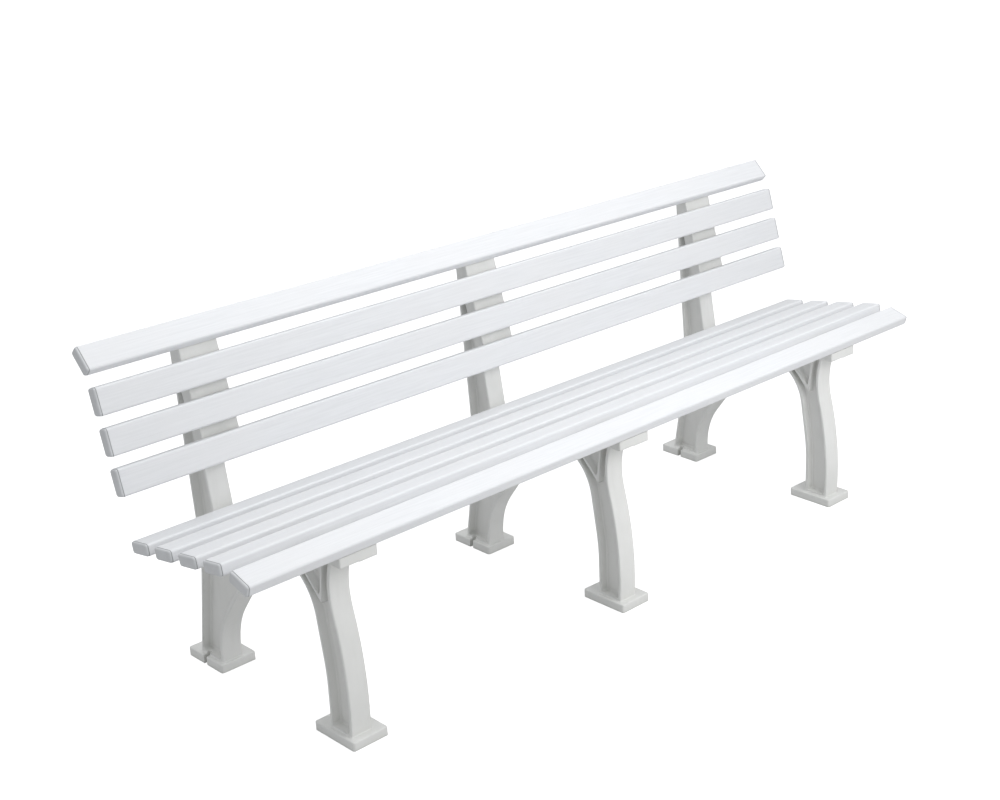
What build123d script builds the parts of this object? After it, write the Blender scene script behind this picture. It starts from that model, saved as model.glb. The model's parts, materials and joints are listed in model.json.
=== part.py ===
"""Park bench: nine hollow plastic slats screwed to three moulded supports."""

import math
import os

from build123d import *

# ---------------------------------------------------------------- driving dimensions (mm)
# X runs along the slats, +Y to the back, +Z up; the origin is on the floor, in the middle
# of the bench.
SLAT_LENGTH = 2000.0  # without the end caps
SUPPORT_PITCH = 750.0
SUPPORT_FACE_X = -50.0  # left face of the middle support

SLAT_WIDTH = 58.0
SLAT_THICKNESS = 26.0
SLAT_WALL = 3.0
SLAT_FACE_RADIUS = 5.0
SLAT_BACK_RADIUS = 7.0
PILOT_DEPTH = 4.0

SEAT_SLOPE = 9.3  # degrees; the seat falls towards the back
SEAT_PITCH = 89.2
SEAT_FRONT_Y = -184.5  # centre of the foremost flat seat slat
SEAT_FRONT_Z = 455.5
KNEE_SLOPE = 17.3  # degrees; the front slat falls towards the front
KNEE_Y = -276.0
KNEE_Z = 451.0

BACK_LEAN = 14.4  # degrees from upright
BACK_PITCH = 82.1
BACK_LOW_Y = 120.5  # centre of the lowest back slat
BACK_LOW_Z = 527.0
TOP_LEAN = 44.5  # degrees from upright
TOP_Y = 199.5
TOP_Z = 768.0

CAP_THICKNESS = 6.0
CAP_ROUND = 4.0
CAP_INSET = 0.5  # step from the outside of a slat in to its cap
PLUG_LENGTH = 16.0
PLUG_CLEARANCE = 0.2

LEG_WIDTH = 48.0
LEG_EDGE = 2.5  # rounding along both side contours
FLANGE = 8.0
SIDE_RECESS = 20.0  # in both sides of a support, leaves a web in the middle
RECESS_CORNER = 5.0
RECESS_ROUND = 4.0  # along the foot of the recess walls
PLATE_WIDTH = 88.0  # the slat plates reach past the leg on the right side only
PLATE_THICKNESS = 10.0
RAIL_DEPTH = 44.0
RAIL_END_Y = 141.0
BACK_PLATE_STEP = 19.0
BACK_PLATE_BOTTOM_Z = 496.0
POST_TOP_ACROSS = 19.0  # above the middle of the top slat
BLOCK_FRONT_Y = -293.0
BLOCK_BOTTOM_Z = 396.0
BLOCK_WALL = 6.0
BLOCK_HEEL_CUT = 14.0
SEAT_BAND = 14.0  # solid depth under the seat slats
BACK_BAND = 32.0  # solid depth behind the back slats
RIB_THICKNESS = 6.0

# corners of the side view of a support as (y, z), before they are rounded
SHIN_MIDDLE = (-278.0, 125.0)  # front edge of the front leg
THROAT_START = (-255.0, 282.0)
BLOCK_HEEL = (-262.0, BLOCK_BOTTOM_Z)
CALF = (-208.5, 140.0)  # rear edge of the front leg
ARCH_FRONT_Y = -175.0
ARCH_REAR_Y = -26.5
REAR_SHIN = (180.5, 98.0)  # front edge of the rear leg
HOCK = (216.4, 267.4)  # rear edge of the rear leg
POST_HEEL = (237.0, 757.0)
ARCH_FRONT_RADIUS = 118.0
ARCH_REAR_RADIUS = 70.0
REAR_SHIN_RADIUS = 180.0
HOCK_RADIUS = 430.0
RAIL_END_RADIUS = 14.0
SMALL_RADIUS = 3.0
FORK = (-216.0, 306.0)  # where the ribs of the front leg part
FORK_FRONT = (-229.0, 392.0)
FORK_REAR = (-148.0, 376.0)

FOOT_LENGTH = 130.0
FOOT_WIDTH = 85.0
FOOT_THICKNESS = 20.0
FOOT_OVERHANG = 10.0  # past the left face of the leg
FOOT_CORNER = 5.0
FOOT_EDGE = 2.5
FOOT_BLEND = 2.5
SILL = 5.0  # solid leg left below each recess
FRONT_FOOT_Y = -228.5
REAR_FOOT_Y = 237.4
FRONT_LEG_FRONT_Y = -274.5
FRONT_LEG_REAR_Y = -205.5
REAR_LEG_REAR_Y = 268.5
SLOT_WIDTH = 11.0
SLOT_DEPTH = 18.0

SCREW_RADIUS = 2.5
SCREW_LENGTH = 24.0
SCREW_TIP = 4.0
SCREW_TIP_TAPER = 28.0  # degrees
SCREW_HEAD_RADIUS = 5.5
SCREW_HEAD_HEIGHT = 3.6
SCREW_HEAD_TAPER = 12.0
SCREW_SOCKET_RADIUS = 2.3
SCREW_SOCKET_DEPTH = 2.2
PLATE_HOLE_RADIUS = 2.9
PILOT_CLEARANCE = 0.05
SCREW_X = (58.5, 74.5)  # measured from the left face of the support

# ---------------------------------------------------------------- worked-out positions
SUPPORT_X = {
    "left": SUPPORT_FACE_X - SUPPORT_PITCH,
    "middle": SUPPORT_FACE_X,
    "right": SUPPORT_FACE_X + SUPPORT_PITCH,
}
CHAMBER_WIDTH = (SLAT_WIDTH - 4 * SLAT_WALL) / 3
FOOT_MIDDLE_X = FOOT_WIDTH / 2 - FOOT_OVERHANG


def slat_plane(y, z, angle, x=0.0):
    """Cross-section plane of a slat: local x runs back across the slat, local y out of its face."""
    across = (0, math.cos(math.radians(angle)), math.sin(math.radians(angle)))
    return Plane(origin=(x, y, z), x_dir=across, z_dir=(1, 0, 0))


def seat_plane(number):
    """Flat seat slat, counted from 1 at the back to 4 at the front."""
    steps = (4 - number) * SEAT_PITCH
    slope = math.radians(SEAT_SLOPE)
    y = SEAT_FRONT_Y + steps * math.cos(slope)
    z = SEAT_FRONT_Z - steps * math.sin(slope)
    return slat_plane(y, z, -SEAT_SLOPE)


def back_plane(number):
    """Back slat, counted from 1 at the bottom to 3 below the top slat."""
    steps = (number - 1) * BACK_PITCH
    lean = math.radians(BACK_LEAN)
    y = BACK_LOW_Y + steps * math.sin(lean)
    z = BACK_LOW_Z + steps * math.cos(lean)
    return slat_plane(y, z, 90 - BACK_LEAN)


SLATS = {f"seat_slat_{number}": seat_plane(number) for number in (1, 2, 3, 4)}
SLATS["seat_slat_front"] = slat_plane(KNEE_Y, KNEE_Z, KNEE_SLOPE)
SLATS.update({f"back_slat_{number}": back_plane(number) for number in (1, 2, 3)})
SLATS["back_slat_top"] = slat_plane(TOP_Y, TOP_Z, 90 - TOP_LEAN)


def side_point(plane, across, height):
    """(y, z) of a point given in a slat's own cross-section."""
    point = plane.from_local_coords(Vector(across, height, 0))
    return (point.Y, point.Z)


def rest_plane(plane, depth=SLAT_THICKNESS):
    """Plane on the underside of a slat, looking out of it, with local x along the bench."""
    origin = plane.from_local_coords(Vector(0, -depth, 0))
    return Plane(origin=origin, x_dir=(1, 0, 0), z_dir=-plane.y_dir)


def meeting_point(plane_a, plane_b, depth=SLAT_THICKNESS):
    """(y, z) where the lines at one depth under two slats cross."""
    ay, az = side_point(plane_a, 0, -depth)
    by, bz = side_point(plane_b, 0, -depth)
    a_dir = plane_a.x_dir
    b_dir = plane_b.x_dir
    cross = a_dir.Y * b_dir.Z - a_dir.Z * b_dir.Y
    steps = ((by - ay) * b_dir.Z - (bz - az) * b_dir.Y) / cross
    return (ay + steps * a_dir.Y, az + steps * a_dir.Z)


def height_under(plane, y, depth=SLAT_THICKNESS):
    """(y, z) at a given y on the line at some depth under a slat."""
    ay, az = side_point(plane, 0, -depth)
    return (y, az + (y - ay) * plane.x_dir.Z / plane.x_dir.Y)


# ---------------------------------------------------------------- slats and end caps
def draw_slat_section():
    """Outer section of a slat: a flat plank, rounder along its back than along its face."""
    Rectangle(SLAT_WIDTH, SLAT_THICKNESS, align=(Align.CENTER, Align.MAX))
    fillet(vertices().group_by(Axis.Y)[-1], SLAT_FACE_RADIUS)
    fillet(vertices().group_by(Axis.Y)[0], SLAT_BACK_RADIUS)


def draw_chambers(clearance):
    """The three hollow chambers of a slat, or the plugs that fill them."""
    draw_slat_section()
    offset(amount=-SLAT_WALL - clearance, mode=Mode.REPLACE)
    web_x = (CHAMBER_WIDTH + SLAT_WALL) / 2
    with Locations((-web_x, 0), (web_x, 0)):
        Rectangle(
            SLAT_WALL + 2 * clearance,
            SLAT_THICKNESS,
            align=(Align.CENTER, Align.MAX),
            mode=Mode.SUBTRACT,
        )


def make_slat(name, plane):
    """Hollow slat with the pilot holes for its screws in the back wall."""
    with BuildPart() as slat:
        with BuildSketch(plane):
            draw_slat_section()
        extrude(amount=SLAT_LENGTH / 2, both=True)
        with BuildSketch(plane):
            draw_chambers(0)
        extrude(amount=SLAT_LENGTH / 2, both=True, mode=Mode.SUBTRACT)
        with BuildSketch(rest_plane(plane)):
            with Locations([(face_x + x, 0) for face_x in SUPPORT_X.values() for x in SCREW_X]):
                Circle(SCREW_RADIUS + PILOT_CLEARANCE)
        extrude(amount=-PILOT_DEPTH, mode=Mode.SUBTRACT)
    slat.part.label = name
    export_step(slat.part, f"parts/{name}.step")


def make_cap(name, plane, side):
    """End cap: a plate with a rounded rim over the slat end and three plugs inside it."""
    slat_end = plane.offset(side * SLAT_LENGTH / 2)
    with BuildPart() as cap:
        with BuildSketch(slat_end):
            draw_slat_section()
            offset(amount=-CAP_INSET, mode=Mode.REPLACE)
        extrude(amount=side * CAP_THICKNESS)
        outer_face = cap.faces().sort_by(Axis.X)[-1 if side > 0 else 0]
        fillet(outer_face.edges(), CAP_ROUND)
        with BuildSketch(slat_end):
            draw_chambers(PLUG_CLEARANCE)
        extrude(amount=-side * PLUG_LENGTH)
    cap.part.label = name
    export_step(cap.part, f"parts/{name}.step")


# ---------------------------------------------------------------- supports
SEAT_LINE = SLATS["seat_slat_4"]
KNEE_LINE = SLATS["seat_slat_front"]
BACK_LINE = SLATS["back_slat_2"]
TOP_LINE = SLATS["back_slat_top"]

BLOCK_TOP = height_under(KNEE_LINE, BLOCK_FRONT_Y)
KNEE_BEND = meeting_point(KNEE_LINE, SEAT_LINE)
SEAT_CORNER = height_under(SEAT_LINE, RAIL_END_Y)
TOP_BEND = meeting_point(BACK_LINE, TOP_LINE)
POST_TOP = side_point(TOP_LINE, POST_TOP_ACROSS, -SLAT_THICKNESS)
BACK_PLATE_LOW = side_point(
    BACK_LINE,
    (BACK_PLATE_BOTTOM_Z - side_point(BACK_LINE, 0, -SLAT_THICKNESS)[1]) / BACK_LINE.x_dir.Z,
    -SLAT_THICKNESS,
)


def support_outline(bottom_z):
    """Side view of a support, from the soles of its legs to the top of the back post."""
    lean = math.radians(BACK_LEAN)
    step_back = (
        BACK_PLATE_LOW[0] + BACK_PLATE_STEP * math.cos(lean),
        BACK_PLATE_LOW[1] - BACK_PLATE_STEP * math.sin(lean),
    )
    block_toe = (BLOCK_FRONT_Y, BLOCK_BOTTOM_Z)
    arch_front = height_under(SEAT_LINE, ARCH_FRONT_Y, SLAT_THICKNESS + RAIL_DEPTH)
    arch_rear = height_under(SEAT_LINE, ARCH_REAR_Y, SLAT_THICKNESS + RAIL_DEPTH)
    front_sole = (FRONT_LEG_FRONT_Y, bottom_z)
    rear_sole = (REAR_LEG_REAR_Y, bottom_z)
    with BuildSketch() as outline:
        with BuildLine():
            shin = ThreePointArc(front_sole, SHIN_MIDDLE, THROAT_START)
            TangentArc(THROAT_START, BLOCK_HEEL, tangent=shin % 1)
            Polyline(BLOCK_HEEL, block_toe, BLOCK_TOP, KNEE_BEND, SEAT_CORNER)
            Polyline(SEAT_CORNER, step_back, BACK_PLATE_LOW, TOP_BEND, POST_TOP)
            Polyline(POST_TOP, POST_HEEL, HOCK, rear_sole, (REAR_SHIN[0], bottom_z))
            Polyline((REAR_SHIN[0], bottom_z), REAR_SHIN, arch_rear, arch_front, CALF)
            Polyline(CALF, (FRONT_LEG_REAR_Y, bottom_z), front_sole)
        make_face()
        for corner, radius in (
            (arch_front, ARCH_FRONT_RADIUS),
            (arch_rear, ARCH_REAR_RADIUS),
            (REAR_SHIN, REAR_SHIN_RADIUS),
            (HOCK, HOCK_RADIUS),
            (CALF, HOCK_RADIUS),
            (SEAT_CORNER, RAIL_END_RADIUS),
            (BLOCK_HEEL, SMALL_RADIUS),
            (block_toe, SMALL_RADIUS),
            (POST_HEEL, 2 * SMALL_RADIUS),
            (POST_TOP, SMALL_RADIUS),
        ):
            fillet(outline.vertices().sort_by_distance(corner)[0], radius)
    return outline.sketch


def strip_under(points, thickness):
    """Closed polygon between a run of points and the same run moved down by a thickness."""
    with BuildSketch() as strip:
        with BuildLine():
            top = Polyline(*points)
            offset(top, amount=thickness, side=Side.RIGHT)
        make_face()
    return strip.sketch


def pocket_outline():
    """Recess in the sides of a support, inside its edge flanges, slat plates and fork ribs."""
    seat_points = [BLOCK_TOP, KNEE_BEND, SEAT_CORNER]
    with BuildSketch() as pocket:
        add(support_outline(FOOT_THICKNESS + SILL - FLANGE))
        offset(amount=-FLANGE, mode=Mode.REPLACE)
        add(strip_under(seat_points, SEAT_BAND), mode=Mode.SUBTRACT)
        add(strip_under([BACK_PLATE_LOW, TOP_BEND], BACK_BAND), mode=Mode.SUBTRACT)
        with BuildLine():
            Polyline(FORK_FRONT, FORK, FORK_REAR)
        trace(line_width=RIB_THICKNESS, mode=Mode.SUBTRACT)
        offset(amount=-RECESS_CORNER, mode=Mode.REPLACE)
        offset(amount=RECESS_CORNER, mode=Mode.REPLACE)
    return pocket.sketch


def side_plates():
    """Side view of the plates that reach past the leg: under the seat and behind the back."""
    seat_points = [BLOCK_TOP, KNEE_BEND, SEAT_CORNER]
    with BuildSketch() as plates:
        add(strip_under(seat_points, PLATE_THICKNESS))
        with Locations((BLOCK_FRONT_Y, BLOCK_BOTTOM_Z)):
            Rectangle(
                BLOCK_WALL,
                BLOCK_TOP[1] - BLOCK_BOTTOM_Z,
                align=(Align.MIN, Align.MIN),
            )
        add(strip_under([BACK_PLATE_LOW, TOP_BEND, POST_TOP], PLATE_THICKNESS))
    return plates.sketch


def block_end():
    """Side view of the end wall that closes the hollow block under the front slat."""
    with BuildSketch() as wall:
        with BuildLine():
            Polyline(
                (BLOCK_FRONT_Y, BLOCK_BOTTOM_Z),
                BLOCK_TOP,
                KNEE_BEND,
                (KNEE_BEND[0], BLOCK_BOTTOM_Z + BLOCK_HEEL_CUT),
                (KNEE_BEND[0] - BLOCK_HEEL_CUT, BLOCK_BOTTOM_Z),
                close=True,
            )
        make_face()
    return wall.sketch


def is_leg_base(edge):
    """True for a line where a leg stands on its foot, False for the rounded rim of the foot."""
    middle = edge.center()
    foot_y = FRONT_FOOT_Y if middle.Y < 0 else REAR_FOOT_Y
    within_leg = 0 <= middle.X <= LEG_WIDTH
    return within_leg and abs(middle.Y - foot_y) < FOOT_LENGTH / 2 - 2 * FOOT_EDGE


def make_support():
    """One moulded support, with its left face on the plane x = 0."""
    # legs, seat rail and back post in one sheet with rounded edges
    with BuildPart() as sheet:
        with BuildSketch(Plane.YZ):
            add(support_outline(FOOT_THICKNESS / 2))
        extrude(amount=LEG_WIDTH)
        sides = sheet.faces().filter_by(Axis.X)
        fillet(sides.edges(), LEG_EDGE)

    with BuildPart() as support:
        with BuildSketch(Plane.XY):
            with Locations((FOOT_MIDDLE_X, FRONT_FOOT_Y), (FOOT_MIDDLE_X, REAR_FOOT_Y)):
                RectangleRounded(FOOT_WIDTH, FOOT_LENGTH, FOOT_CORNER)
        extrude(amount=FOOT_THICKNESS)
        fillet(support.edges().group_by(Axis.Z)[-1], FOOT_EDGE)
        add(sheet.part)
        on_top = support.edges().filter_by_position(Axis.Z, FOOT_THICKNESS, FOOT_THICKNESS)
        fillet([edge for edge in on_top if is_leg_base(edge)], FOOT_BLEND)

        # slat plates past the right side of the leg, started behind its rounded edge
        with BuildSketch(Plane.YZ.offset(LEG_WIDTH - LEG_EDGE)):
            add(side_plates())
        extrude(amount=PLATE_WIDTH - LEG_WIDTH + LEG_EDGE)
        with BuildSketch(Plane.YZ.offset(PLATE_WIDTH - BLOCK_WALL)):
            add(block_end())
        extrude(amount=BLOCK_WALL)

        # recesses on both sides leave a web in the middle of the leg
        recess = pocket_outline()
        with BuildSketch(Plane.YZ):
            add(recess)
        extrude(amount=SIDE_RECESS, mode=Mode.SUBTRACT)
        with BuildSketch(Plane.YZ.offset(LEG_WIDTH)):
            add(recess)
        extrude(amount=-SIDE_RECESS, mode=Mode.SUBTRACT)
        for floor_x in (SIDE_RECESS, LEG_WIDTH - SIDE_RECESS):
            floors = support.faces().filter_by_position(Axis.X, floor_x, floor_x)
            fillet(floors.edges(), RECESS_ROUND)

        # screw holes through the plates
        for plane in SLATS.values():
            with BuildSketch(rest_plane(plane)):
                with Locations([(x, 0) for x in SCREW_X]):
                    Circle(PLATE_HOLE_RADIUS)
            extrude(amount=PLATE_THICKNESS, mode=Mode.SUBTRACT)

        # anchor slot, open to the left, in the middle of the rear foot
        with BuildSketch(Plane.XY):
            with Locations((-FOOT_OVERHANG, REAR_FOOT_Y)):
                Rectangle(2 * (SLOT_DEPTH - SLOT_WIDTH / 2), SLOT_WIDTH)
            with Locations((SLOT_DEPTH - FOOT_OVERHANG - SLOT_WIDTH / 2, REAR_FOOT_Y)):
                Circle(SLOT_WIDTH / 2)
        extrude(amount=FOOT_THICKNESS + 2 * SILL, mode=Mode.SUBTRACT)
    return support.part


def make_screws(name, planes):
    """All screws of one group, two at every crossing of a slat and a support."""
    with BuildPart() as screws:
        for plane in planes:
            head_plane = rest_plane(plane, SLAT_THICKNESS + PLATE_THICKNESS)
            spots = [(face_x + x, 0) for face_x in SUPPORT_X.values() for x in SCREW_X]
            with BuildSketch(head_plane):
                with Locations(spots):
                    Circle(SCREW_RADIUS)
            extrude(amount=SCREW_TIP - SCREW_LENGTH)
            with BuildSketch(head_plane.offset(SCREW_TIP - SCREW_LENGTH)):
                with Locations(spots):
                    Circle(SCREW_RADIUS)
            extrude(amount=-SCREW_TIP, taper=SCREW_TIP_TAPER)
            with BuildSketch(head_plane):
                with Locations(spots):
                    Circle(SCREW_HEAD_RADIUS)
            extrude(amount=SCREW_HEAD_HEIGHT, taper=SCREW_HEAD_TAPER)
            with BuildSketch(head_plane.offset(SCREW_HEAD_HEIGHT)):
                with Locations(spots):
                    RegularPolygon(SCREW_SOCKET_RADIUS, 6)
            extrude(amount=-SCREW_SOCKET_DEPTH, mode=Mode.SUBTRACT)
    screws.part.label = name
    export_step(screws.part, f"parts/{name}.step")


# ---------------------------------------------------------------- build every piece
os.makedirs("parts", exist_ok=True)

for slat_name, slat_frame in SLATS.items():
    make_slat(slat_name, slat_frame)
    make_cap(slat_name.replace("slat", "cap") + "_left", slat_frame, -1)
    make_cap(slat_name.replace("slat", "cap") + "_right", slat_frame, 1)

one_support = make_support()
for place_name, place_x in SUPPORT_X.items():
    placed = one_support.moved(Location((place_x, 0, 0)))
    placed.label = f"support_{place_name}"
    export_step(placed, f"parts/support_{place_name}.step")

make_screws("seat_screws", [SLATS[name] for name in SLATS if name.startswith("seat")])
make_screws("back_screws", [SLATS[name] for name in SLATS if name.startswith("back")])
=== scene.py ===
"""Looks of the park bench: plastic and steel finishes, floor, light and camera around the CAD model."""

import json
import math

import bpy
from mathutils import Matrix, Vector


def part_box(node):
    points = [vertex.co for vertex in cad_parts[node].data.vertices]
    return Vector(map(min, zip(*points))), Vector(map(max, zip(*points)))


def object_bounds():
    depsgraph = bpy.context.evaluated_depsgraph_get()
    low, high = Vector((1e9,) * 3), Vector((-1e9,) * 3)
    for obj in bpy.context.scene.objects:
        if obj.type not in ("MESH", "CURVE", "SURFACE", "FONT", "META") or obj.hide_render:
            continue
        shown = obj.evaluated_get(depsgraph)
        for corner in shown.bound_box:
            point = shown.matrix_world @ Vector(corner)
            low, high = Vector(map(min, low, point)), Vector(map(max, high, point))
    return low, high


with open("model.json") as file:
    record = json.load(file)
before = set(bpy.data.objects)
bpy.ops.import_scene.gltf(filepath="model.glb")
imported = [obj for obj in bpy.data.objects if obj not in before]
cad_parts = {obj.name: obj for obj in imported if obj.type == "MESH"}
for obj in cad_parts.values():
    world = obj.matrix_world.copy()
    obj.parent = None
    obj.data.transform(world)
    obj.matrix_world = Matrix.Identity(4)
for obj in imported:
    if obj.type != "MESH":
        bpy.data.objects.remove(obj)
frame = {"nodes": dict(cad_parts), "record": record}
cad_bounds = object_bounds()

scene = bpy.context.scene

# ---------------------------------------------------------------- driving values (metres, degrees)
CAMERA_AZIMUTH = -47.5
CAMERA_ELEVATION = 19.64
CAMERA_ROLL = -1.06
CAMERA_DISTANCE = 4.3254
CAMERA_TARGET = Vector((0.5392, -0.0402, 0.4))
SENSOR_WIDTH = 36.0  # millimetres
FOCAL_PER_WIDTH = 1.7033
PICTURE_CENTRE = (0.7143, 0.3563)  # principal point, in picture widths from the top left
PICTURE_HEIGHT = 0.8  # in picture widths

SEAT_HEIGHT = 0.45
FRONT_LIGHT_ELEVATION = 31
FRONT_LIGHT_DISTANCE = 2.4
FRONT_LIGHT_SIDE_STEP = 0.4
FRONT_LIGHT_SIZE = 1.6
FRONT_LIGHT_POWER = 23
TOP_LIGHT_RISE = 2.2
TOP_LIGHT_SIDE_STEP = -0.1
TOP_LIGHT_BACK_STEP = 0.15
TOP_LIGHT_SIZE = 2.4
TOP_LIGHT_POWER = 18
SURROUND_COLOUR = (0.97, 0.985, 1.0)
SURROUND_STRENGTH = 0.48  # at the horizon
ZENITH_STRENGTH = 0.80

WHITE = (1.0, 1.0, 1.0)
EVEN = (1.0, 1.0, 1.0)  # stretch of a noise that is alike along all axes
NOISE_ROUGHNESS = 0.55
PROBE_RAYS = 6  # rays sent out to find corners and edges
EDGE_TURN = (0.995, 0.8)  # cosines of the turn of a rounded normal, from flat to edge

bench_low, bench_high = (Vector(corner) for corner in cad_bounds)
bench_middle = (bench_low + bench_high) / 2
slat_end = max(corner[0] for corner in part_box("seat_slat_1"))


# ---------------------------------------------------------------- node helpers
def with_alpha(colour, shade=1.0):
    return tuple(channel * shade for channel in colour) + (1.0,)


def shades(colour, factors):
    """The same colour in several shades, one for every factor."""
    return [with_alpha(colour, factor) for factor in factors]


class Shader:
    """Short calls for building one material's node tree."""

    def __init__(self, name):
        self.material = bpy.data.materials.new(name)
        self.material.use_nodes = True
        self.tree = self.material.node_tree
        self.tree.nodes.clear()
        self.place = self.node("ShaderNodeTexCoord").outputs["Object"]

    def node(self, kind, settings=None, **inputs):
        """New node, with settings as attributes and inputs given by name as values or sockets."""
        made = self.tree.nodes.new(kind)
        for key, value in (settings or {}).items():
            setattr(made, key, value)
        for key, value in inputs.items():
            self.feed(made.inputs[key.replace("_", " ")], value)
        return made

    def feed(self, socket, value):
        if isinstance(value, bpy.types.NodeSocket):
            self.tree.links.new(value, socket)
        else:
            socket.default_value = value

    def axis(self, name):
        """Position along one axis of the bench, in metres."""
        return self.node("ShaderNodeSeparateXYZ", Vector=self.place).outputs[name]

    def noise(self, scale, detail, stretch=EVEN):
        """Noise from 0 to 1 whose features are longer along an axis with a smaller stretch."""
        spread = self.node("ShaderNodeMapping", Vector=self.place, Scale=stretch)
        made = self.node(
            "ShaderNodeTexNoise",
            Vector=spread.outputs["Vector"],
            Scale=scale,
            Detail=detail,
            Roughness=NOISE_ROUGHNESS,
        )
        return made.outputs["Fac"]

    def remap(self, value, source, target=(0.0, 1.0)):
        """Value carried from the source range over to the target range and cut off at its ends."""
        made = self.node(
            "ShaderNodeMapRange",
            Value=value,
            From_Min=source[0],
            From_Max=source[1],
            To_Min=target[0],
            To_Max=target[1],
        )
        return made.outputs["Result"]

    def maths(self, operation, first, second=0.0):
        made = self.node("ShaderNodeMath", {"operation": operation})
        self.feed(made.inputs[0], first)
        self.feed(made.inputs[1], second)
        return made.outputs["Value"]

    def mix(self, factor, first, second):
        kind = {"data_type": "RGBA"}
        made = self.node("ShaderNodeMix", kind, Factor=factor, A=first, B=second)
        return made.outputs["Result"]

    def painted_corner_shade(self, colour, shade_tone, reach, openness, strength):
        """Painted shade that darkens gaps and inner corners, from nothing to full over a range of
        openness.
        """
        kind = {"samples": PROBE_RAYS}
        # occlusion decides where the painted shade goes
        made = self.node("ShaderNodeAmbientOcclusion", kind, Distance=reach)
        amount = self.remap(made.outputs["AO"], openness, (0.0, strength))
        return self.mix(amount, colour, with_alpha(shade_tone))

    def rounded(self, radius):
        """Normal with every sharp edge rounded off by a small radius."""
        made = self.node("ShaderNodeBevel", {"samples": PROBE_RAYS}, Radius=radius)
        return made.outputs["Normal"]

    def edge_mask(self, rounded_normal):
        """1 along outer and inner edges, 0 on flat faces."""
        flat = self.node("ShaderNodeNewGeometry").outputs["Normal"]
        made = self.node("ShaderNodeVectorMath", {"operation": "DOT_PRODUCT"})
        self.feed(made.inputs[0], flat)
        self.feed(made.inputs[1], rounded_normal)
        return self.remap(made.outputs["Value"], EDGE_TURN)

    def bump(self, height, strength, distance, below):
        """Relief laid over the normal of the surface below it."""
        made = self.node(
            "ShaderNodeBump", Height=height, Strength=strength, Distance=distance, Normal=below
        )
        return made.outputs["Normal"]

    def finish(self, colour, roughness, normal, gloss, metallic=0.0):
        shader = self.node(
            "ShaderNodeBsdfPrincipled",
            Base_Color=colour,
            Roughness=roughness,
            Metallic=metallic,
            Normal=normal,
            Specular_IOR_Level=gloss,
        )
        self.node("ShaderNodeOutputMaterial", Surface=shader.outputs["BSDF"])
        return self.material


# ---------------------------------------------------------------- slats
SLAT_COLOUR = (0.80, 0.81, 0.83)
SLAT_GLOSS = 0.45
STREAK_STRETCH = (1.6, 46.0, 46.0)  # long along the slat
STREAK_SCALE = 6.0
STREAK_DETAIL = 5.0
STREAK_RANGE = (0.3, 0.75)
STREAK_SHADES = (0.94, 1.03)
STREAK_SHEEN_RANGE = (0.25, 0.8)
STREAK_ROUGHNESS = (0.36, 0.52)
STREAK_STRENGTH = 0.28
STREAK_HEIGHT = 0.0006
SCORING_STRETCH = (14.0, 420.0, 420.0)  # finer marks left by the die
SCORING_SCALE = 2.0
SCORING_DETAIL = 3.0
SCORING_STRENGTH = 0.18
SCORING_HEIGHT = 0.0002
SLAT_CLOUD_COLOUR = (0.80, 0.80, 0.81)
SLAT_CLOUD_SCALE = 5.0
SLAT_CLOUD_DETAIL = 2.0
SLAT_CLOUD_RANGE = (0.4, 0.7)
SLAT_CLOUD_STRENGTH = 0.5
# painted shade in the gaps between slats and in inner corners
SLAT_PAINTED_SHADE_COLOUR = (0.52, 0.53, 0.52)
SLAT_PAINTED_SHADE_REACH = 0.03
SLAT_PAINTED_SHADE_OPENNESS = (0.75, 0.2)
SLAT_PAINTED_SHADE_STRENGTH = 0.35
SLAT_EDGE_COLOUR = (0.88, 0.89, 0.91)
SLAT_EDGE_RADIUS = 0.0008
SLAT_EDGE_WEAR = 0.25
SLAT_EDGE_POLISH = 0.08  # how much less rough a worn edge is


def slat_plastic():
    """Extruded white plastic with a faint brushed grain along the slat and painted shade in the gaps.
    """
    shader = Shader("slat_plastic")
    streaks = shader.noise(STREAK_SCALE, STREAK_DETAIL, STREAK_STRETCH)
    scoring = shader.noise(SCORING_SCALE, SCORING_DETAIL, SCORING_STRETCH)
    cloud = shader.noise(SLAT_CLOUD_SCALE, SLAT_CLOUD_DETAIL)
    dark, light = shades(SLAT_COLOUR, STREAK_SHADES)
    colour = shader.mix(shader.remap(streaks, STREAK_RANGE), dark, light)
    clouded = shader.remap(cloud, SLAT_CLOUD_RANGE, (0.0, SLAT_CLOUD_STRENGTH))
    colour = shader.mix(clouded, colour, with_alpha(SLAT_CLOUD_COLOUR))
    # painted shade darkens the gaps and inner corners
    colour = shader.painted_corner_shade(
        colour, SLAT_PAINTED_SHADE_COLOUR, SLAT_PAINTED_SHADE_REACH, SLAT_PAINTED_SHADE_OPENNESS, SLAT_PAINTED_SHADE_STRENGTH
    )
    rounded = shader.rounded(SLAT_EDGE_RADIUS)
    edge = shader.edge_mask(rounded)
    worn = shader.maths("MULTIPLY", edge, SLAT_EDGE_WEAR)
    colour = shader.mix(worn, colour, with_alpha(SLAT_EDGE_COLOUR))
    polish = shader.maths("MULTIPLY", edge, SLAT_EDGE_POLISH)
    roughness = shader.remap(streaks, STREAK_SHEEN_RANGE, STREAK_ROUGHNESS)
    roughness = shader.maths("SUBTRACT", roughness, polish)
    normal = shader.bump(streaks, STREAK_STRENGTH, STREAK_HEIGHT, rounded)
    normal = shader.bump(scoring, SCORING_STRENGTH, SCORING_HEIGHT, normal)
    return shader.finish(colour, roughness, normal, SLAT_GLOSS)
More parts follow.
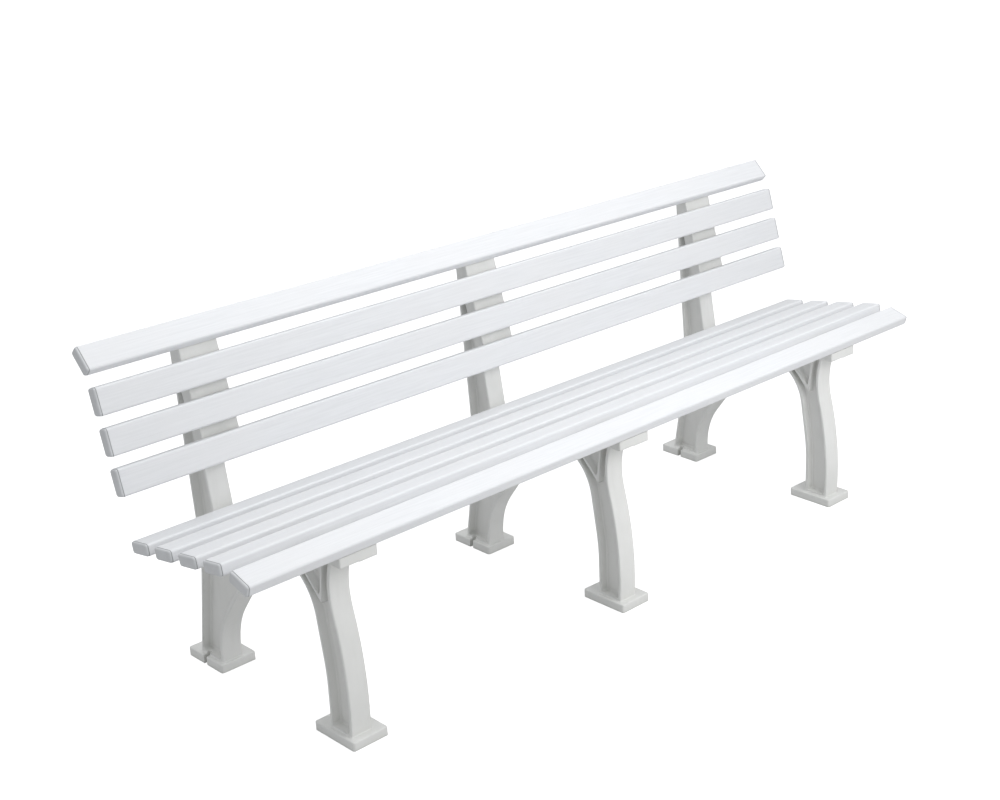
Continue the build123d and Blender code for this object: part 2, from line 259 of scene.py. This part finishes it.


# ---------------------------------------------------------------- end caps
# greyer than the slats; part of this grey is painted shade of the end faces, which sit in shade
CAP_GREY_AND_SHADE_COLOUR = (0.64, 0.65, 0.665)
CAP_GLOSS = 0.4
CAP_EDGE_RADIUS = 0.0005
CAP_GRAIN_SCALE = 900.0
CAP_GRAIN_DETAIL = 2.0
CAP_GRAIN_RANGE = (0.3, 0.7)
CAP_GRAIN_ROUGHNESS = (0.44, 0.58)
CAP_GRAIN_STRENGTH = 0.22
CAP_GRAIN_HEIGHT = 0.0002
CAP_CLOUD_SCALE = 30.0
CAP_CLOUD_DETAIL = 3.0
CAP_CLOUD_RANGE = (0.3, 0.7)
CAP_CLOUD_SHADES = (0.96, 1.03)
# painted shade in the hollows of the cap
CAP_PAINTED_SHADE_COLOUR = (0.36, 0.38, 0.39)
CAP_PAINTED_SHADE_REACH = 0.006
CAP_PAINTED_SHADE_OPENNESS = (0.8, 0.3)
CAP_PAINTED_SHADE_STRENGTH = 0.6
JOINT_DIRT_COLOUR = (0.20, 0.21, 0.21)
JOINT_DIRT_RANGE = (0.0008, 0.0018)  # distance past the slat over which the dirt fades out
JOINT_DIRT_STRENGTH = 0.8


def cap_plastic():
    """Moulded white plastic, greyer than the slats partly as painted shade of the end faces, with grime
    in the joint to the slat and painted shade in its hollows.
    """
    shader = Shader("cap_plastic")
    grain = shader.noise(CAP_GRAIN_SCALE, CAP_GRAIN_DETAIL)
    cloud = shader.noise(CAP_CLOUD_SCALE, CAP_CLOUD_DETAIL)
    # the cap colour carries painted shade of the end faces
    dark, light = shades(CAP_GREY_AND_SHADE_COLOUR, CAP_CLOUD_SHADES)
    colour = shader.mix(shader.remap(cloud, CAP_CLOUD_RANGE), dark, light)
    # painted shade darkens the hollows of the cap
    colour = shader.painted_corner_shade(
        colour, CAP_PAINTED_SHADE_COLOUR, CAP_PAINTED_SHADE_REACH, CAP_PAINTED_SHADE_OPENNESS, CAP_PAINTED_SHADE_STRENGTH
    )
    past_slat = shader.maths("SUBTRACT", shader.maths("ABSOLUTE", shader.axis("X")), slat_end)
    joint = shader.remap(past_slat, JOINT_DIRT_RANGE, (JOINT_DIRT_STRENGTH, 0.0))
    colour = shader.mix(joint, colour, with_alpha(JOINT_DIRT_COLOUR))
    roughness = shader.remap(grain, CAP_GRAIN_RANGE, CAP_GRAIN_ROUGHNESS)
    rounded = shader.rounded(CAP_EDGE_RADIUS)
    normal = shader.bump(grain, CAP_GRAIN_STRENGTH, CAP_GRAIN_HEIGHT, rounded)
    return shader.finish(colour, roughness, normal, CAP_GLOSS)


# ---------------------------------------------------------------- supports
SUPPORT_COLOUR = (0.81, 0.812, 0.79)
SUPPORT_DARK_SHADE = 0.94
SUPPORT_LIGHT_COLOUR = (0.84, 0.84, 0.825)
SUPPORT_GLOSS = 0.42
SUPPORT_EDGE_RADIUS = 0.004
SUPPORT_CLOUD_STRETCH = (1.0, 1.0, 0.6)
SUPPORT_CLOUD_SCALE = 9.0
SUPPORT_CLOUD_DETAIL = 4.0
SUPPORT_CLOUD_RANGE = (0.3, 0.72)
MOULD_GRAIN_SCALE = 650.0
MOULD_GRAIN_DETAIL = 3.0
MOULD_GRAIN_STRENGTH = 0.22
MOULD_GRAIN_HEIGHT = 0.0003
PEEL_SCALE = 95.0  # orange peel of the moulded skin
PEEL_DETAIL = 2.0
PEEL_RANGE = (0.3, 0.7)
PEEL_ROUGHNESS = (0.42, 0.56)
PEEL_STRENGTH = 0.16
PEEL_HEIGHT = 0.0008
RUN_COLOUR = (0.67, 0.67, 0.64)
RUN_STRETCH = (26.0, 26.0, 1.4)  # long down the legs
RUN_SCALE = 2.6
RUN_DETAIL = 4.0
RUN_RANGE = (0.52, 0.8)
RUN_STRENGTH = 0.22
# painted shade in the recesses and inner corners of the supports
SUPPORT_PAINTED_SHADE_COLOUR = (0.45, 0.455, 0.41)
SUPPORT_PAINTED_SHADE_REACH = 0.02
SUPPORT_PAINTED_SHADE_OPENNESS = (0.75, 0.2)
SUPPORT_PAINTED_SHADE_STRENGTH = 0.4
DUST_COLOUR = (0.62, 0.61, 0.56)
DUST_TOP = 0.12
DUST_STRENGTH = 0.08
DUST_CLOUD_RANGE = (0.35, 0.65)
DUST_CLOUD_SHARE = (0.3, 1.0)
DUST_ROUGHNESS = 0.3
SUPPORT_WEAR_COLOUR = (0.84, 0.84, 0.82)
SUPPORT_WEAR_RADIUS = 0.0012
SUPPORT_WEAR_RANGE = (0.35, 0.6)
SUPPORT_WEAR_SHARE = (0.1, 0.45)


def support_plastic():
    """Off-white moulded plastic with a sandy mould grain, worn edges, dust near the ground and painted
    shade in recesses and inner corners.
    """
    shader = Shader("support_plastic")
    grain = shader.noise(MOULD_GRAIN_SCALE, MOULD_GRAIN_DETAIL)
    peel = shader.noise(PEEL_SCALE, PEEL_DETAIL)
    cloud = shader.noise(SUPPORT_CLOUD_SCALE, SUPPORT_CLOUD_DETAIL, SUPPORT_CLOUD_STRETCH)
    runs = shader.noise(RUN_SCALE, RUN_DETAIL, RUN_STRETCH)
    dark = with_alpha(SUPPORT_COLOUR, SUPPORT_DARK_SHADE)
    light = with_alpha(SUPPORT_LIGHT_COLOUR)
    colour = shader.mix(shader.remap(cloud, SUPPORT_CLOUD_RANGE), dark, light)
    run_down = shader.remap(runs, RUN_RANGE, (0.0, RUN_STRENGTH))
    colour = shader.mix(run_down, colour, with_alpha(RUN_COLOUR))
    # painted shade darkens the recesses and inner corners
    colour = shader.painted_corner_shade(
        colour,
        SUPPORT_PAINTED_SHADE_COLOUR,
        SUPPORT_PAINTED_SHADE_REACH,
        SUPPORT_PAINTED_SHADE_OPENNESS,
        SUPPORT_PAINTED_SHADE_STRENGTH,
    )
    low_down = shader.remap(shader.axis("Z"), (DUST_TOP, 0.0), (0.0, DUST_STRENGTH))
    patchy = shader.remap(cloud, DUST_CLOUD_RANGE, DUST_CLOUD_SHARE)
    dust = shader.maths("MULTIPLY", low_down, patchy)
    colour = shader.mix(dust, colour, with_alpha(DUST_COLOUR))
    edge = shader.edge_mask(shader.rounded(SUPPORT_WEAR_RADIUS))
    rubbed = shader.remap(peel, SUPPORT_WEAR_RANGE, SUPPORT_WEAR_SHARE)
    worn = shader.maths("MULTIPLY", edge, rubbed)
    colour = shader.mix(worn, colour, with_alpha(SUPPORT_WEAR_COLOUR))
    dusty = shader.maths("MULTIPLY", dust, DUST_ROUGHNESS)
    roughness = shader.remap(peel, PEEL_RANGE, PEEL_ROUGHNESS)
    roughness = shader.maths("ADD", roughness, dusty)
    rounded = shader.rounded(SUPPORT_EDGE_RADIUS)
    normal = shader.bump(peel, PEEL_STRENGTH, PEEL_HEIGHT, rounded)
    normal = shader.bump(grain, MOULD_GRAIN_STRENGTH, MOULD_GRAIN_HEIGHT, normal)
    return shader.finish(colour, roughness, normal, SUPPORT_GLOSS)


# ---------------------------------------------------------------- screws
STEEL_COLOUR = (0.56, 0.57, 0.58)
STEEL_GLOSS = 0.5
STEEL_EDGE_RADIUS = 0.0003
LATHE_SCALE = 1400.0
LATHE_DETAIL = 2.0
LATHE_RANGE = (0.3, 0.7)
LATHE_ROUGHNESS = (0.26, 0.42)
LATHE_STRENGTH = 0.1
LATHE_HEIGHT = 0.0001
STEEL_CLOUD_SCALE = 60.0
STEEL_CLOUD_DETAIL = 3.0
STEEL_CLOUD_RANGE = (0.3, 0.7)
STEEL_CLOUD_SHADES = (0.85, 1.1)


def screw_steel():
    """Plain stainless steel with fine turning marks."""
    shader = Shader("screw_steel")
    marks = shader.noise(LATHE_SCALE, LATHE_DETAIL)
    cloud = shader.noise(STEEL_CLOUD_SCALE, STEEL_CLOUD_DETAIL)
    dark, light = shades(STEEL_COLOUR, STEEL_CLOUD_SHADES)
    colour = shader.mix(shader.remap(cloud, STEEL_CLOUD_RANGE), dark, light)
    roughness = shader.remap(marks, LATHE_RANGE, LATHE_ROUGHNESS)
    rounded = shader.rounded(STEEL_EDGE_RADIUS)
    normal = shader.bump(marks, LATHE_STRENGTH, LATHE_HEIGHT, rounded)
    return shader.finish(colour, roughness, normal, STEEL_GLOSS, metallic=1.0)


def dress_bench():
    """Give every CAD node the finish of its material slot."""
    finishes = {
        "slat_plastic": slat_plastic(),
        "cap_plastic": cap_plastic(),
        "support_plastic": support_plastic(),
        "screw_steel": screw_steel(),
    }
    slots = {part["node"]: part["material_slot"] for part in frame["record"]["subparts"]}
    for name, node in frame["nodes"].items():
        node.data.materials.clear()
        node.data.materials.append(finishes[slots[name]])


# ---------------------------------------------------------------- floor
FLOOR_HALF_SIZE = 40.0
FLOOR_DARK_COLOUR = (0.62, 0.62, 0.62)
FLOOR_LIGHT_COLOUR = (0.64, 0.64, 0.64)
FLOOR_CLOUD_SCALE = 1.5
FLOOR_CLOUD_DETAIL = 2.0
FLOOR_ROUGHNESS = 0.8
FLOOR_GLOW = 0.74  # what the floor adds for the camera alone, so that it reads as plain white


def floor_white():
    """Plain pale floor that reads as nearly white, with soft shadows left in."""
    shader = Shader("floor_white")
    cloud = shader.noise(FLOOR_CLOUD_SCALE, FLOOR_CLOUD_DETAIL)
    seen = shader.node("ShaderNodeLightPath").outputs["Is Camera Ray"]
    dark = with_alpha(FLOOR_DARK_COLOUR)
    light = with_alpha(FLOOR_LIGHT_COLOUR)
    surface = shader.node(
        "ShaderNodeBsdfPrincipled",
        Base_Color=shader.mix(cloud, dark, light),
        Roughness=FLOOR_ROUGHNESS,
        Emission_Color=with_alpha(WHITE),
        Emission_Strength=shader.maths("MULTIPLY", seen, FLOOR_GLOW),
    )
    shader.node("ShaderNodeOutputMaterial", Surface=surface.outputs["BSDF"])
    return shader.material


def add_floor():
    half = FLOOR_HALF_SIZE
    corners = [(-half, -half, 0), (half, -half, 0), (half, half, 0), (-half, half, 0)]
    mesh = bpy.data.meshes.new("floor")
    mesh.from_pydata(corners, [], [(0, 1, 2, 3)])
    mesh.materials.append(floor_white())
    floor = bpy.data.objects.new("floor", mesh)
    scene.collection.objects.link(floor)


# ---------------------------------------------------------------- light
def add_area_light(name, place, aim, size, power):
    """Round soft light that the camera doesn't see."""
    data = bpy.data.lights.new(name, "AREA")
    data.shape = "DISK"
    data.size = size
    data.energy = power
    light = bpy.data.objects.new(name, data)
    light.location = place
    light.rotation_euler = (aim - place).to_track_quat("-Z", "Y").to_euler()
    light.visible_camera = False
    scene.collection.objects.link(light)


def add_lights():
    """A low soft light in front and a soft light overhead."""
    centre = Vector((bench_middle.x, bench_middle.y, SEAT_HEIGHT))
    lift = math.radians(FRONT_LIGHT_ELEVATION)
    aim = centre + Vector((FRONT_LIGHT_SIDE_STEP, 0, 0))
    place = aim + FRONT_LIGHT_DISTANCE * Vector((0, -math.cos(lift), math.sin(lift)))
    add_area_light("front_light", place, aim, FRONT_LIGHT_SIZE, FRONT_LIGHT_POWER)
    aim = centre + Vector((TOP_LIGHT_SIDE_STEP, 0, 0))
    place = aim + Vector((0, TOP_LIGHT_BACK_STEP, TOP_LIGHT_RISE))
    add_area_light("top_light", place, aim, TOP_LIGHT_SIZE, TOP_LIGHT_POWER)


def add_surround():
    """Pale surround that grows brighter from the horizon up to the zenith."""
    world = bpy.data.worlds.new("surround")
    world.use_nodes = True
    tree = world.node_tree
    direction = tree.nodes.new("ShaderNodeTexCoord")
    height = tree.nodes.new("ShaderNodeSeparateXYZ")
    strength = tree.nodes.new("ShaderNodeMapRange")
    strength.inputs["To Min"].default_value = SURROUND_STRENGTH
    strength.inputs["To Max"].default_value = ZENITH_STRENGTH
    background = tree.nodes["Background"]
    background.inputs["Color"].default_value = with_alpha(SURROUND_COLOUR)
    tree.links.new(direction.outputs["Generated"], height.inputs["Vector"])
    tree.links.new(height.outputs["Z"], strength.inputs["Value"])
    tree.links.new(strength.outputs["Result"], background.inputs["Strength"])
    scene.world = world


# ---------------------------------------------------------------- camera
def add_camera():
    """Camera to the front left of the bench, a little above the top of its back."""
    azimuth = math.radians(CAMERA_AZIMUTH)
    elevation = math.radians(CAMERA_ELEVATION)
    roll = math.radians(CAMERA_ROLL)
    back = Vector((
        math.sin(azimuth) * math.cos(elevation),
        -math.cos(azimuth) * math.cos(elevation),
        math.sin(elevation),
    ))
    level_right = Vector((0, 0, 1)).cross(back).normalized()
    level_up = back.cross(level_right)
    right = level_right * math.cos(roll) + level_up * math.sin(roll)
    up = level_up * math.cos(roll) - level_right * math.sin(roll)
    place = CAMERA_TARGET + back * CAMERA_DISTANCE
    data = bpy.data.cameras.new("camera")
    data.sensor_width = SENSOR_WIDTH
    data.lens = SENSOR_WIDTH * FOCAL_PER_WIDTH
    data.shift_x = 0.5 - PICTURE_CENTRE[0]
    data.shift_y = PICTURE_CENTRE[1] - PICTURE_HEIGHT / 2
    camera = bpy.data.objects.new("camera", data)
    camera.matrix_world = Matrix((
        (right.x, up.x, back.x, place.x),
        (right.y, up.y, back.y, place.y),
        (right.z, up.z, back.z, place.z),
        (0, 0, 0, 1),
    ))
    scene.collection.objects.link(camera)
    scene.camera = camera


# ---------------------------------------------------------------- put it together
dress_bench()
add_floor()
add_lights()
add_surround()
add_camera()
scene.view_settings.view_transform = "Standard"
